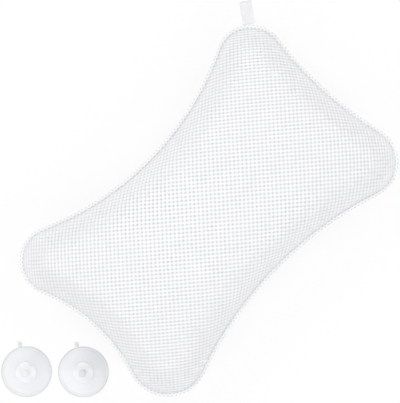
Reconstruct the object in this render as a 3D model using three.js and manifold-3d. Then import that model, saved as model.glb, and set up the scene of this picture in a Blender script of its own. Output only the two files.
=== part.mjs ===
// A bone-shaped bath pillow lying face up, with its two suction cups taken off and laid beside it.
// Millimetres, +Z up. The origin is the middle of the flat on the pillow's back, X runs along its length.
import * as THREE from "three";
import { mergeVertices } from "three/addons/utils/BufferGeometryUtils.js";
import Module from "manifold-3d";

const wasm = await Module();
wasm.setup();

// Outline seen from the front, four round lobes joined by hollow sides.
// Each lobe has its farthest reach from the middle along X and Y, and its radius.
const LOOP_LOBE_REACH_X = 189;
const LOOP_LOBE_REACH_Y = 124.5;
const LOOP_LOBE_RADIUS = 39;
const UPPER_LOBE_REACH_X = 197.7;
const UPPER_LOBE_REACH_Y = 127.9;
const UPPER_LOBE_RADIUS = 39;
const LOWER_LOBE_REACH_X = 194;
const LOWER_LOBE_REACH_Y = 118.8;
const LOWER_LOBE_RADIUS = 45.6;
const FAR_LOBE_REACH_X = 193.6;
const FAR_LOBE_REACH_Y = 121.4;
const FAR_LOBE_RADIUS = 41;
const TOP_SIDE_RADIUS = 330;
const LEFT_END_RADIUS = 192;
const BOTTOM_SIDE_RADIUS = 424;
const RIGHT_END_RADIUS = 430;

// Padding
const SEAM_HEIGHT = 42;
const FRONT_CROWN = 58;
const FRONT_EDGE = 22;
const BACK_EDGE = 15;
const CROWN_REACH_X = 230;
const CROWN_REACH_Y = 150;
const EDGE_ROLL = 30;
const EDGE_TAPER = 2.1;
const RESTING_FLAT = 0.5;
const FABRIC_THICKNESS = 5;
const SEAM_ALLOWANCE = 4;

// Piping in the edge seam
const PIPING_DIAMETER = 5;
const PIPING_TAPE_THICKNESS = 0.6;
const PIPING_TAPE_SLIT = 0.3;
const PIPING_FLANGE = 3.5;

// Hanging loop
const LOOP_PLACE_ANGLE = 47;
const LOOP_LEAN_ANGLE = 6;
const LOOP_TAPE_WIDTH = 12.8;
const LOOP_TAPE_THICKNESS = 1;
const LOOP_LENGTH = 26;
const LOOP_OPENING = 8;
const LOOP_SEWN_LENGTH = 3;

// Eyelets in the back panel
const EYELET_SPACING = 150;
const EYELET_OFFSET_Y = 0;
const EYELET_BORE = 7;
const EYELET_BARREL_WALL = 1.1;
const EYELET_FLANGE_DIAMETER = 18;
const EYELET_FLANGE_THICKNESS = 1;
const EYELET_LIP_THICKNESS = 1;
const EYELET_LIP_OVERLAP = 0.8;
const FLANGE_RECESS = 0.3;
const WASHER_DIAMETER = 17;
const WASHER_THICKNESS = 1.2;
const WASHER_RECESS = 0.6;
const KNOB_POCKET_MARGIN = 2;
const KNOB_POCKET_DEPTH = 16;

// Suction cups
const CUP_DIAMETER = 57;
const CUP_RIM_WIDTH = 3.5;
const CUP_LIP_THICKNESS = 1.2;
const CUP_HOLLOW_DEPTH = 7.5;
const CUP_WALL = 2;
const CUP_BOSS_DIAMETER = 24.5;
const CUP_BOSS_RISE = 0.6;
const KNOB_SNAP = 0.5;
const KNOB_NECK_PLAY = 0.5;
const KNOB_COLLAR_DIAMETER = 11;
const KNOB_COLLAR_THICKNESS = 1;
const KNOB_HEAD_HEIGHT = 3.4;
const TAB_LENGTH = 6.4;
const TAB_ROOT_WIDTH = 4;
const TAB_BULB_DIAMETER = 5;
const TAB_THICKNESS = 1.2;
const TAB_LIFT = 0.2;
const TAB_DIRECTION_ANGLE = 57.5;
const CUP_PLACES = { a: [-274.5, 27], b: [-230.5, -19.5] };

// Fits and facets
const CLEARANCE = 0.3;
const LOBE_STEPS = 8;
const SIDE_STEPS = 5;
const ROLL_STEPS = 5;
const CROWN_RINGS = [0.75, 0.5, 0.25];
const PIPING_STEPS = 8;
const ROUND_STEPS = 32;
const SMALL_ROUND_STEPS = 18;
const DOME_STEPS = 5;
const LOOP_CURVE_STEPS = 8;

const radians = THREE.MathUtils.degToRad;

const meshFabric = { color: 0xf6f6f5, roughness: 0.9, metalness: 0 };
const pipingFabric = { color: 0xf0f0f0, roughness: 0.85, metalness: 0 };
const cordFibre = { color: 0xe8e6e0, roughness: 0.95, metalness: 0 };
const wadding = { color: 0xfafaf8, roughness: 1, metalness: 0 };
const loopWebbing = { color: 0xececec, roughness: 0.8, metalness: 0 };
const eyeletPlastic = { color: 0xf2f2f2, roughness: 0.35, metalness: 0 };
const clearVinyl = { color: 0xe6e8ef, roughness: 0.25, metalness: 0 };

function piece(name, geometry, look) {
  const mesh = new THREE.Mesh(geometry, new THREE.MeshStandardMaterial(look));
  mesh.name = name;
  return mesh;
}

// A lobe's centre from its farthest reach, in the quarter given by the two signs.
function lobe(signX, signY, reachX, reachY, radius) {
  return { x: signX * (reachX - radius), y: signY * (reachY - radius), radius };
}

const lobes = [
  lobe(1, 1, LOOP_LOBE_REACH_X, LOOP_LOBE_REACH_Y, LOOP_LOBE_RADIUS),
  lobe(-1, 1, UPPER_LOBE_REACH_X, UPPER_LOBE_REACH_Y, UPPER_LOBE_RADIUS),
  lobe(-1, -1, LOWER_LOBE_REACH_X, LOWER_LOBE_REACH_Y, LOWER_LOBE_RADIUS),
  lobe(1, -1, FAR_LOBE_REACH_X, FAR_LOBE_REACH_Y, FAR_LOBE_RADIUS),
];
const sideRadii = [TOP_SIDE_RADIUS, LEFT_END_RADIUS, BOTTOM_SIDE_RADIUS, RIGHT_END_RADIUS];

// The circle outside the pillow that touches two neighbouring lobes and hollows the side between them.
function hollowSide(from, to, radius) {
  const span = Math.hypot(to.x - from.x, to.y - from.y);
  const alongX = (to.x - from.x) / span;
  const alongY = (to.y - from.y) / span;
  const fromReach = radius + from.radius;
  const toReach = radius + to.radius;
  const foot = (fromReach ** 2 - toReach ** 2 + span ** 2) / (2 * span);
  const rise = Math.sqrt(fromReach ** 2 - foot ** 2);
  return {
    x: from.x + alongX * foot + alongY * rise,
    y: from.y + alongY * foot - alongX * rise,
    radius,
  };
}

const sides = lobes.map((from, i) => hollowSide(from, lobes[(i + 1) % lobes.length], sideRadii[i]));

function direction(from, to) {
  return Math.atan2(to.y - from.y, to.x - from.x);
}

// Points of the outline drawn in by an inset, anticlockwise from above.
function outline(inset) {
  const points = [];
  lobes.forEach((here, i) => {
    const next = lobes[(i + 1) % lobes.length];
    const before = sides[(i + sides.length - 1) % sides.length];
    const side = sides[i];
    const lobeArc = new THREE.EllipseCurve(
      here.x, here.y, here.radius - inset, here.radius - inset,
      direction(here, before), direction(here, side), false,
    );
    const sideArc = new THREE.EllipseCurve(
      side.x, side.y, side.radius + inset, side.radius + inset,
      direction(side, here), direction(side, next), true,
    );
    points.push(...lobeArc.getPoints(LOBE_STEPS).slice(0, -1));
    points.push(...sideArc.getPoints(SIDE_STEPS).slice(0, -1));
  });
  return points;
}

function ring(points, heightAt) {
  return points.map((point) => new THREE.Vector3(point.x, point.y, heightAt(point.x, point.y)));
}

function geometryFrom(points, triangles) {
  const geometry = new THREE.BufferGeometry();
  geometry.setAttribute("position", new THREE.Float32BufferAttribute(points.flatMap((p) => p.toArray()), 3));
  geometry.setIndex(triangles);
  geometry.computeVertexNormals();
  return geometry;
}

// Triangles of the band between two rings that follow each other over the outside of a solid.
// Where the skin runs inward the quads are split the other way, so that nested skins keep parallel facets.
function band(upperStart, lowerStart, count, inward) {
  const triangles = [];
  for (let i = 0; i < count; i += 1) {
    const next = (i + 1) % count;
    const upperSplit = upperStart + (inward ? i : next);
    const lowerSplit = lowerStart + (inward ? next : i);
    triangles.push(lowerStart + i, lowerStart + next, upperSplit);
    triangles.push(lowerSplit, upperStart + next, upperStart + i);
  }
  return triangles;
}

// A closed skin of an upper and a lower surface, each with rings from its edge to its crown and a pole.
function polarSolid(upper, lower) {
  const rings = [...upper.rings.toReversed(), ...lower.rings];
  const count = rings[0].length;
  const points = [upper.pole, ...rings.flat(), lower.pole];
  const lastStart = 1 + (rings.length - 1) * count;
  const triangles = [];
  for (let i = 0; i < count; i += 1) {
    const next = (i + 1) % count;
    triangles.push(0, 1 + i, 1 + next);
    triangles.push(points.length - 1, lastStart + next, lastStart + i);
  }
  for (let k = 0; k + 1 < rings.length; k += 1) {
    const inward = k + 1 >= upper.rings.length;
    triangles.push(...band(1 + k * count, 1 + (k + 1) * count, count, inward));
  }
  return geometryFrom(points, triangles);
}

// A closed hoop along the outline, from a section of insets and heights listed over its top first.
function outlineHoop(section) {
  const rings = section.map(([inset, z]) => ring(outline(inset), () => z));
  const count = rings[0].length;
  const triangles = rings.flatMap((_, k) => band(k * count, ((k + 1) % rings.length) * count, count, false));
  return geometryFrom(rings.flat(), triangles);
}

// Padding swells from the seam: a rolled edge, then a crown that falls away towards the lobes.
const seamInset = PIPING_DIAMETER + CLEARANCE;
const smallestLobeRadius = Math.min(...lobes.map((each) => each.radius));
const rollEnd = seamInset + Math.min(EDGE_ROLL, 0.9 * (smallestLobeRadius - seamInset));
const flangeHalf = PIPING_TAPE_SLIT / 2 + PIPING_TAPE_THICKNESS;
const panelSeamHalf = flangeHalf + CLEARANCE;
const backCrown = SEAM_HEIGHT + RESTING_FLAT;

function crownShare(x, y) {
  return 1 - (x / CROWN_REACH_X) ** 2 - (y / CROWN_REACH_Y) ** 2;
}

function frontHeight(x, y) {
  return FRONT_EDGE + (FRONT_CROWN - FRONT_EDGE) * crownShare(x, y);
}

function backDepth(x, y) {
  return BACK_EDGE + (backCrown - BACK_EDGE) * crownShare(x, y);
}

// Rings of one padded surface from its edge to the crown, and the point at the crown's middle.
// A taper of 1 gives the edge a round section, and 2 a flatter one that meets the seam at a slant.
function swell(up, startInset, startRise, riseAt) {
  const rings = [];
  for (let k = 0; k <= ROLL_STEPS; k += 1) {
    const turn = (k / ROLL_STEPS) * (Math.PI / 2);
    const inset = startInset + (rollEnd - startInset) * (1 - Math.cos(turn));
    const share = Math.sin(turn) ** EDGE_TAPER;
    rings.push(ring(outline(inset), (x, y) => {
      return SEAM_HEIGHT + up * (startRise + share * (riseAt(x, y) - startRise));
    }));
  }
  const crownEdge = outline(rollEnd);
  CROWN_RINGS.forEach((share) => {
    const points = crownEdge.map((point) => point.clone().multiplyScalar(share));
    rings.push(ring(points, (x, y) => SEAM_HEIGHT + up * riseAt(x, y)));
  });
  return { rings, pole: new THREE.Vector3(0, 0, SEAM_HEIGHT + up * riseAt(0, 0)) };
}

// A fabric panel between an outer and an inner padded surface.
function panel(up, riseAt) {
  const outer = swell(up, seamInset, panelSeamHalf, riseAt);
  const innerRiseAt = (x, y) => riseAt(x, y) - FABRIC_THICKNESS;
  const inner = swell(up, seamInset + SEAM_ALLOWANCE, panelSeamHalf, innerRiseAt);
  return up > 0 ? polarSolid(outer, inner) : polarSolid(inner, outer);
}

function fillBody() {
  const edgeInset = seamInset + SEAM_ALLOWANCE + CLEARANCE;
  const padding = FABRIC_THICKNESS + CLEARANCE;
  const upper = swell(1, edgeInset, 0, (x, y) => frontHeight(x, y) - padding);
  const lower = swell(-1, edgeInset, 0, (x, y) => backDepth(x, y) - padding);
  const lowerBelowEdge = { rings: lower.rings.slice(1), pole: lower.pole };
  return polarSolid(upper, lowerBelowEdge);
}

// Solids for the cuts
function toSolid(geometry) {
  const bare = geometry.clone();
  bare.deleteAttribute("normal");
  bare.deleteAttribute("uv");
  const merged = mergeVertices(bare, 1e-4);
  return new wasm.Manifold(new wasm.Mesh({
    numProp: 3,
    vertProperties: new Float32Array(merged.attributes.position.array),
    triVerts: new Uint32Array(merged.index.array),
  }));
}

function fromSolid(solid) {
  const mesh = solid.getMesh();
  const geometry = new THREE.BufferGeometry();
  geometry.setAttribute("position", new THREE.Float32BufferAttribute(mesh.vertProperties, 3));
  geometry.setIndex([...mesh.triVerts]);
  geometry.computeVertexNormals();
  return geometry;
}

function cutAway(geometry, tools) {
  const solid = tools.reduce((left, tool) => left.subtract(toSolid(tool)), toSolid(geometry));
  return fromSolid(solid);
}

function uprightCylinder(x, y, bottom, top, radius) {
  const geometry = new THREE.CylinderGeometry(radius, radius, top - bottom, SMALL_ROUND_STEPS);
  geometry.rotateX(Math.PI / 2);
  geometry.translate(x, y, (bottom + top) / 2);
  return geometry;
}

// A round piece turned about the upright axis from points of radius and height.
function turned(profile, steps) {
  const geometry = new THREE.LatheGeometry(profile.map(([r, z]) => new THREE.Vector2(r, z)), steps);
  geometry.rotateX(Math.PI / 2);
  return geometry;
}

// Eyelets clamp the back panel between a flange outside it and a washer inside it.
const eyeletPlaces = { a: [-EYELET_SPACING / 2, EYELET_OFFSET_Y], b: [EYELET_SPACING / 2, EYELET_OFFSET_Y] };
const boreRadius = EYELET_BORE / 2;
const barrelRadius = boreRadius + EYELET_BARREL_WALL;
const barrelHoleRadius = barrelRadius + CLEARANCE;
const flangeSeat = FLANGE_RECESS + EYELET_FLANGE_THICKNESS + CLEARANCE;
const clampedFabric = FABRIC_THICKNESS - flangeSeat - WASHER_RECESS;
const washerBottom = flangeSeat + clampedFabric + CLEARANCE;
const lipBottom = washerBottom + WASHER_THICKNESS + CLEARANCE;
const eyeletTop = lipBottom + EYELET_LIP_THICKNESS;
const eyeletLength = eyeletTop - FLANGE_RECESS;

function backSurface([x, y]) {
  return SEAM_HEIGHT - backDepth(x, y);
}

function panelCuts(place) {
  const [x, y] = place;
  const base = backSurface(place);
  const beyond = FABRIC_THICKNESS;
  return [
    uprightCylinder(x, y, base - beyond, base + flangeSeat, EYELET_FLANGE_DIAMETER / 2 + CLEARANCE),
    uprightCylinder(x, y, base - beyond, base + FABRIC_THICKNESS + beyond, barrelHoleRadius),
    uprightCylinder(
      x, y, base + flangeSeat + clampedFabric, base + FABRIC_THICKNESS + beyond,
      WASHER_DIAMETER / 2 + CLEARANCE,
    ),
  ];
}

function fillCut(place) {
  const [x, y] = place;
  const base = backSurface(place);
  const radius = WASHER_DIAMETER / 2 + KNOB_POCKET_MARGIN;
  return uprightCylinder(x, y, base, base + FABRIC_THICKNESS + KNOB_POCKET_DEPTH, radius);
}

function eyelet() {
  const flangeTop = FLANGE_RECESS + EYELET_FLANGE_THICKNESS;
  const lipRadius = barrelHoleRadius + EYELET_LIP_OVERLAP;
  return turned([
    [boreRadius, FLANGE_RECESS],
    [EYELET_FLANGE_DIAMETER / 2, FLANGE_RECESS],
    [EYELET_FLANGE_DIAMETER / 2, flangeTop],
    [barrelRadius, flangeTop],
    [barrelRadius, lipBottom],
    [lipRadius, lipBottom],
    [lipRadius, eyeletTop],
    [boreRadius, eyeletTop],
    [boreRadius, FLANGE_RECESS],
  ], SMALL_ROUND_STEPS);
}

function washer() {
  return turned([
    [barrelHoleRadius, washerBottom],
    [WASHER_DIAMETER / 2, washerBottom],
    [WASHER_DIAMETER / 2, washerBottom + WASHER_THICKNESS],
    [barrelHoleRadius, washerBottom + WASHER_THICKNESS],
    [barrelHoleRadius, washerBottom],
  ], SMALL_ROUND_STEPS);
}

// The surface that the pillow lies on, a block below zero that cuts the back panel flat.
function restingBlock() {
  const depth = 20 * RESTING_FLAT;
  const geometry = new THREE.BoxGeometry(2 * UPPER_LOBE_REACH_X, 2 * UPPER_LOBE_REACH_Y, depth);
  geometry.translate(0, 0, -depth / 2);
  return geometry;
}

// The tape wraps the cord in a round bulge, and its two legs run in between the panels.
const pipingRadius = PIPING_DIAMETER / 2;
const cordRoomRadius = pipingRadius - PIPING_TAPE_THICKNESS;

function pipingArc(radius, halfGap, sign) {
  const gapAngle = Math.asin(halfGap / radius);
  const points = [];
  for (let k = 0; k <= PIPING_STEPS; k += 1) {
    const angle = sign * (gapAngle + (k / PIPING_STEPS) * 2 * (Math.PI - gapAngle));
    points.push([pipingRadius + radius * Math.cos(angle), SEAM_HEIGHT + radius * Math.sin(angle)]);
  }
  return points;
}

function pipingTape() {
  const legEnd = seamInset + PIPING_FLANGE;
  const slitHalf = PIPING_TAPE_SLIT / 2;
  return outlineHoop([
    [legEnd, SEAM_HEIGHT + flangeHalf],
    ...pipingArc(pipingRadius, flangeHalf, 1),
    [legEnd, SEAM_HEIGHT - flangeHalf],
    [legEnd, SEAM_HEIGHT - slitHalf],
    ...pipingArc(cordRoomRadius, slitHalf, -1),
    [legEnd, SEAM_HEIGHT + slitHalf],
  ]);
}

function pipingCord() {
  const facetRoom = cordRoomRadius * Math.cos(Math.PI / PIPING_STEPS);
  const radius = facetRoom - CLEARANCE;
  const section = [];
  for (let k = 0; k < PIPING_STEPS; k += 1) {
    const angle = ((k + 0.5) / PIPING_STEPS) * 2 * Math.PI;
    section.push([pipingRadius + radius * Math.cos(angle), SEAM_HEIGHT + radius * Math.sin(angle)]);
  }
  return outlineHoop(section);
}

// Two round ends of different radius joined by straight sides, along local X.
function taperedBelt(path, startX, startRadius, endX, endRadius) {
  const touch = Math.acos((startRadius - endRadius) / (endX - startX));
  path.absarc(endX, 0, endRadius, -touch, touch, false);
  path.absarc(startX, 0, startRadius, touch, 2 * Math.PI - touch, false);
  path.closePath();
  return path;
}

// The loop's two layers lie together at the seam and open into a round fold at the far end.
const loopRootRadius = LOOP_TAPE_THICKNESS;
const loopFoldRadius = LOOP_OPENING / 2 + LOOP_TAPE_THICKNESS;
const loopFoldX = LOOP_LENGTH - loopRootRadius - CLEARANCE - loopFoldRadius;

function hangingLoop() {
  const tape = taperedBelt(new THREE.Shape(), 0, loopRootRadius, loopFoldX, loopFoldRadius);
  const gapStartX = loopRootRadius + LOOP_SEWN_LENGTH;
  const gapStartRadius = LOOP_TAPE_THICKNESS / 4;
  tape.holes.push(taperedBelt(new THREE.Path(), gapStartX, gapStartRadius, loopFoldX, LOOP_OPENING / 2));
  const geometry = new THREE.ExtrudeGeometry(tape, {
    depth: LOOP_TAPE_WIDTH,
    bevelEnabled: false,
    curveSegments: LOOP_CURVE_STEPS,
  });
  geometry.translate(0, 0, -LOOP_TAPE_WIDTH / 2);
  geometry.rotateX(Math.PI / 2);
  return geometry;
}

function placeLoop(mesh) {
  const seat = lobes[0];
  const place = radians(LOOP_PLACE_ANGLE);
  const lean = radians(LOOP_LEAN_ANGLE);
  const reach = (seat.radius + CLEARANCE + loopRootRadius) / Math.cos(lean);
  mesh.position.set(seat.x + reach * Math.cos(place), seat.y + reach * Math.sin(place), SEAM_HEIGHT);
  mesh.rotation.z = place + lean;
  return mesh;
}

// The dish is a shallow dome with a flat rim to seal on and a raised boss under the knob.
const cupRadius = CUP_DIAMETER / 2;
const hollowRadius = cupRadius - CUP_RIM_WIDTH;
const hollowSphere = (hollowRadius ** 2 + CUP_HOLLOW_DEPTH ** 2) / (2 * CUP_HOLLOW_DEPTH);
const bossRadius = CUP_BOSS_DIAMETER / 2;
const bossTop = CUP_HOLLOW_DEPTH + CUP_WALL + CUP_BOSS_RISE;

function hollowHeight(radius) {
  return CUP_HOLLOW_DEPTH - hollowSphere + Math.sqrt(hollowSphere ** 2 - radius ** 2);
}

function suctionCup() {
  const profile = [];
  for (let k = 0; k < DOME_STEPS; k += 1) {
    const radius = (k / DOME_STEPS) * hollowRadius;
    profile.push([radius, hollowHeight(radius)]);
  }
  profile.push([hollowRadius, 0], [cupRadius, 0], [cupRadius, CUP_LIP_THICKNESS]);
  for (let k = 0; k <= DOME_STEPS; k += 1) {
    const radius = hollowRadius + (k / DOME_STEPS) * (bossRadius - hollowRadius);
    profile.push([radius, hollowHeight(radius) + CUP_WALL]);
  }
  profile.push([bossRadius, bossTop], [0, bossTop]);
  return turned(profile, ROUND_STEPS);
}

// The knob's neck is as long as an eyelet, and its head snaps past the bore.
const neckRadius = boreRadius - KNOB_NECK_PLAY;
const headRadius = boreRadius + KNOB_SNAP;
const collarTop = bossTop + CLEARANCE + KNOB_COLLAR_THICKNESS;
const neckTop = collarTop + eyeletLength + 2 * CLEARANCE;

function cupKnob() {
  const headMiddle = neckTop + KNOB_HEAD_HEIGHT * 0.35;
  const headShoulder = neckTop + KNOB_HEAD_HEIGHT * 0.8;
  return turned([
    [0, bossTop + CLEARANCE],
    [KNOB_COLLAR_DIAMETER / 2, bossTop + CLEARANCE],
    [KNOB_COLLAR_DIAMETER / 2, collarTop],
    [neckRadius, collarTop],
    [neckRadius, neckTop],
    [headRadius, headMiddle],
    [headRadius * 0.75, headShoulder],
    [headRadius * 0.35, neckTop + KNOB_HEAD_HEIGHT],
    [0, neckTop + KNOB_HEAD_HEIGHT],
  ], SMALL_ROUND_STEPS);
}

// The tab's root lies along the rim, and its far end is a round bulb to grip.
function pullTab() {
  const shape = new THREE.Shape();
  const bulbRadius = TAB_BULB_DIAMETER / 2;
  const bulbX = TAB_LENGTH - bulbRadius;
  const wrap = radians(115);
  shape.moveTo(CLEARANCE, TAB_ROOT_WIDTH / 2);
  shape.lineTo(CLEARANCE, -TAB_ROOT_WIDTH / 2);
  shape.absarc(bulbX, 0, bulbRadius, -wrap, wrap, false);
  shape.closePath();
  const geometry = new THREE.ExtrudeGeometry(shape, {
    depth: TAB_THICKNESS,
    bevelEnabled: false,
    curveSegments: LOOP_CURVE_STEPS,
  });
  geometry.translate(cupRadius, 0, TAB_LIFT);
  return geometry;
}

// Assembly
const pillow = new THREE.Group();
const cutPlaces = Object.values(eyeletPlaces);
const backCuts = [restingBlock(), ...cutPlaces.flatMap(panelCuts)];

pillow.add(piece("front_panel", panel(1, frontHeight), meshFabric));
pillow.add(piece("back_panel", cutAway(panel(-1, backDepth), backCuts), meshFabric));
pillow.add(piece("fibre_fill", cutAway(fillBody(), cutPlaces.map(fillCut)), wadding));
pillow.add(piece("piping_tape", pipingTape(), pipingFabric));
pillow.add(piece("piping_cord", pipingCord(), cordFibre));
pillow.add(placeLoop(piece("hanging_loop", hangingLoop(), loopWebbing)));

Object.entries(eyeletPlaces).forEach(([side, place]) => {
  const set = new THREE.Group();
  set.position.set(place[0], place[1], backSurface(place));
  set.add(piece(`eyelet_${side}`, eyelet(), eyeletPlastic));
  set.add(piece(`eyelet_washer_${side}`, washer(), eyeletPlastic));
  pillow.add(set);
});

Object.entries(CUP_PLACES).forEach(([side, [x, y]]) => {
  const cup = new THREE.Group();
  cup.position.set(x, y, 0);
  cup.rotation.z = radians(TAB_DIRECTION_ANGLE);
  cup.add(piece(`suction_cup_${side}`, suctionCup(), clearVinyl));
  cup.add(piece(`cup_knob_${side}`, cupKnob(), clearVinyl));
  cup.add(piece(`pull_tab_${side}`, pullTab(), clearVinyl));
  pillow.add(cup);
});

export default pillow;
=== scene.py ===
"""Bath pillow: a white open-mesh cushion with a piped seam and a hanging loop, and its two suction cups."""

import math

import bmesh
import bpy
import numpy as np
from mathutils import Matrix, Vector, noise
from mathutils.kdtree import KDTree


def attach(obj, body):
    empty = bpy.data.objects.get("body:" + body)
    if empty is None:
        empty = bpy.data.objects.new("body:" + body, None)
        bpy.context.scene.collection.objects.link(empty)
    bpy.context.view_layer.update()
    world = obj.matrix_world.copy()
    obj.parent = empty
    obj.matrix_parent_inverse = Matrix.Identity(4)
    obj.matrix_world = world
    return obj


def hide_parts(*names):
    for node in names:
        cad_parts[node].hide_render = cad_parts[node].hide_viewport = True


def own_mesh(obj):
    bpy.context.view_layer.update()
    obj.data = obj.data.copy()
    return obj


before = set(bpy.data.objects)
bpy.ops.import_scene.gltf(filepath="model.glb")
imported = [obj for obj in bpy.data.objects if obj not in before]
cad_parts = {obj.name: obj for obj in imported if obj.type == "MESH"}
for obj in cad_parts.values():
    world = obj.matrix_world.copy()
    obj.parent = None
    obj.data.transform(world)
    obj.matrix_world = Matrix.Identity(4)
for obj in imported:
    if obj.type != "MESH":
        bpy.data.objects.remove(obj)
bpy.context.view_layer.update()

MM = 0.001
TINY = 1e-6
FAR = 1e9
FRONT = 1
BACK = -1

# All lengths are in millimetres, apart from those of the studio at the end

# Outline: four round lobes (centre x, centre y, radius) and the hollow sides between them
LOBES = [(150.0, 85.5, 39.0), (-158.7, 88.9, 39.0), (-148.4, -73.2, 45.6), (152.6, -80.4, 41.0)]
SIDE_RADII = [330.0, 192.0, 424.0, 430.0]

# Swollen form: height of each side over the seam, at the edge roll and at the crown
SEAM_HEIGHT = 42.0
EDGE_HEIGHT = {FRONT: 22.0, BACK: 15.0}
CROWN_HEIGHT = {FRONT: 58.0, BACK: 42.5}
CROWN_REACH_X = 230.0
CROWN_REACH_Y = 150.0
SEAM_INSET = 4.2
SEAM_HALF = 1.85
EDGE_ROLL = 28.5
ROLL_BEND = 0.3
ROLL_TAKE_UP = 0.5
ROLL_END = SEAM_INSET + EDGE_ROLL
ROLL_SAMPLES = 49
START_FULLNESS = 0.985
LOWEST = 0.3

# Swelling of the cushion by cloth simulation
SWELL_SPACING = 6.0
SWELL_ROLL_STEPS = 9
SWELL_CROWN_SHARES = np.linspace(0.9, 0.1, 12)
VOXEL = 5.0
CLOTH_QUALITY = 6
SWELL_PRESSURE = 4.0
SWELL_FRAMES = 20
SWELL_CAP = 5.0
SWELL_BAND = 60.0
PIN_BAND = 5.0
FIELD_STEP = 4.0
FIELD_REACH_X = 280.0
FIELD_REACH_Y = 200.0
FIELD_MARGIN = 0.001
FIELD_NEIGHBOURS = 6
FIELD_SOFTENING = 1.0

# Open mesh fabric: rows and columns a little out of square, closing up towards the lobes
ROW_ANGLE = math.radians(-41.3)
COLUMN_ANGLE = math.radians(46.2)
COLUMN_PITCH = 4.43
ROW_PITCH = 4.24
MESH_REACH = 310.0
COLUMN_CLOSING = 300.0
COLUMN_CLOSING_POWER = 4
ROW_CLOSING = 490.0
ROW_CLOSING_POWER = 2
CELL_POINTS = 8
FIRST_SPOKE = math.radians(-135)
HOLE_TOP_RADIUS = 1.5
HOLE_RADIUS = 0.7
HOLE_DEPTH = 1.2
KNOT_LIFT = 0.2
ROW_GROOVE_LIFT = -0.2
COLUMN_GROOVE_LIFT = -0.1
MERGE_DISTANCE = 0.08
SLIVER_LENGTH = 0.02

# Reach of the mesh in pitches: past the seam, from the seam to the first hole, and under an eyelet
PAST_SEAM = 0.6
HOLES_FROM_SEAM = 0.75
UNDER_EYELET = 0.5

# Depth of painted shade of the mesh, from 0 on the knots, and the fabric's colours along shares of SHADE_SPAN
# Painted shade darkens the grooves and holes, more where the mesh is drawn together, and a band along the
# seam
ROW_GROOVE_SHADE = 1.1
COLUMN_GROOVE_SHADE = 0.92
GROOVE_SHADE_DEEPENING = 3.2
GROOVE_SHADE_FADING = 2.0
GROOVE_SEAM_BAND = 36.0
SEAM_SHADE = 0.5
SEAM_SHADE_BAND = 10.0
HOLE_EDGE_SHADE = 0.8
HOLE_BOTTOM_SHADE = 2.0
SHADE_SPAN = 3.0
FABRIC_PAD = (0.955, 0.955, 0.957)
FABRIC_PAINTED_SHADES = [
    (0.0, FABRIC_PAD), (0.2, FABRIC_PAD), (0.33, (0.87, 0.87, 0.873)), (0.67, (0.80, 0.80, 0.805)),
    (1.0, (0.70, 0.70, 0.708)),
]

# Wadding under the mesh
WADDING_SPACING = 5.0
WADDING_ROLL_STEPS = 12
WADDING_CROWN_SHARES = np.linspace(0.94, 0.06, 24)
WADDING_DEPTH = 1.5
WADDING_SEAM_SHARE = 0.15
WADDING_SEAM_BAND = 12.0
WADDING_LUMP = 0.2
WADDING_LUMP_SIZE = 9.0

# Piping
PIPING_RADIUS = 2.5
PIPING_ROUND_STEPS = 30
PIPING_ROWS = 6
PIPING_BEAD = 4.4
PIPING_BEAD_STEPS = 9
PIPING_DIMPLE = 0.4
PIPING_DIMPLE_RADIUS = 1.0
FLANGE_HALF = 0.75
FLANGE_INSETS = (4.4, 9.0)

# Hanging loop
LOOP_HINGE = np.array([177.636, 115.136, SEAM_HEIGHT])
LOOP_ANGLE = math.radians(53)
LOOP_WIDTH = 12.8
LOOP_THICKNESS = 1.0
LOOP_ROOT_RADIUS = 0.55
LOOP_FOLD_RADIUS = 4.5
LOOP_FOLD_X = 19.7
LOOP_FOLD_STEPS = 60
LOOP_ROOT_STEPS = 12
LOOP_SPACING = 0.3
LOOP_ACROSS_POINTS = 26
LOOP_EDGE_ROUNDING = 0.4
LOOP_EDGE_SHARE = 0.25
LOOP_RIB = 1.1
LOOP_RIB_LIFT = 0.09
LOOP_SELVEDGE = 0.9
LOOP_SELVEDGE_LIFT = 0.08
LOOP_PLEAT = 4.3
LOOP_PLEAT_LIFT = 0.2
LOOP_PLEAT_FADE = 6.0
LOOP_CREASE_X = 19.2
LOOP_CREASE_DEPTH = 0.25
LOOP_CREASE_WIDTH = 0.5
LOOP_FLARE = 0.08

# Turned pieces
DISH_STEPS = 96
RING_STEPS = 64
POCKET_STEPS = 48
ROUNDING_STEPS = 4
ROUNDING_SHARE = 0.45

# Eyelets in the back, with heights over their base
EYELETS = {"a": (-75.0, 0.0), "b": (75.0, 0.0)}
EYELET_BASE = 2.424
EYELET_FLANGE_RADIUS = 9.0
EYELET_BORE_RADIUS = 3.5
EYELET_BARREL_WALL = 1.1
EYELET_LIP = 1.1
EYELET_FACE = 0.3
EYELET_FACE_SLOPE = 2.5
EYELET_FLANGE_EDGE = 0.8
EYELET_FLANGE_TOP = 1.3
EYELET_LIP_BOTTOM = 6.2
EYELET_TOP = 7.2
EYELET_BORE_MIDDLE = 3.0
EYELET_ROUNDING = 0.5
EYELET_SEAT_LIFT = 1.0
EYELET_DRAW_BAND = 13.5
EYELET_POCKET_RADIUS = 10.5
EYELET_POCKET_BOTTOM = -5.0
EYELET_POCKET_TOP = 21.0

# Suction cups
CUPS = {"a": (-274.5, 27.0), "b": (-230.5, -19.5)}
CUP_RADIUS = 28.5
CUP_HOLLOW_RADIUS = 25.0
CUP_HOLLOW_DEPTH = 7.5
CUP_WALL = 2.0
CUP_DOME_POINTS = 20
CUP_LIP = 1.2
CUP_LIP_RISE = 0.15
CUP_LIP_INSIDE = 0.8
CUP_RIM_BAND = 0.6
CUP_RIM_ROUNDING = 0.45
CUP_BOSS_RADIUS = 12.25
CUP_BOSS_TOP = 10.1
CUP_BOSS_FOOT = 0.5
CUP_BOSS_TAPER = 0.3
CUP_BOSS_LAND = 2.0
CUP_BOSS_ROUNDING = 0.4
CUP_SEAT_TOP = 9.6
CUP_SEAT_INSET = 2.6

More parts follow.
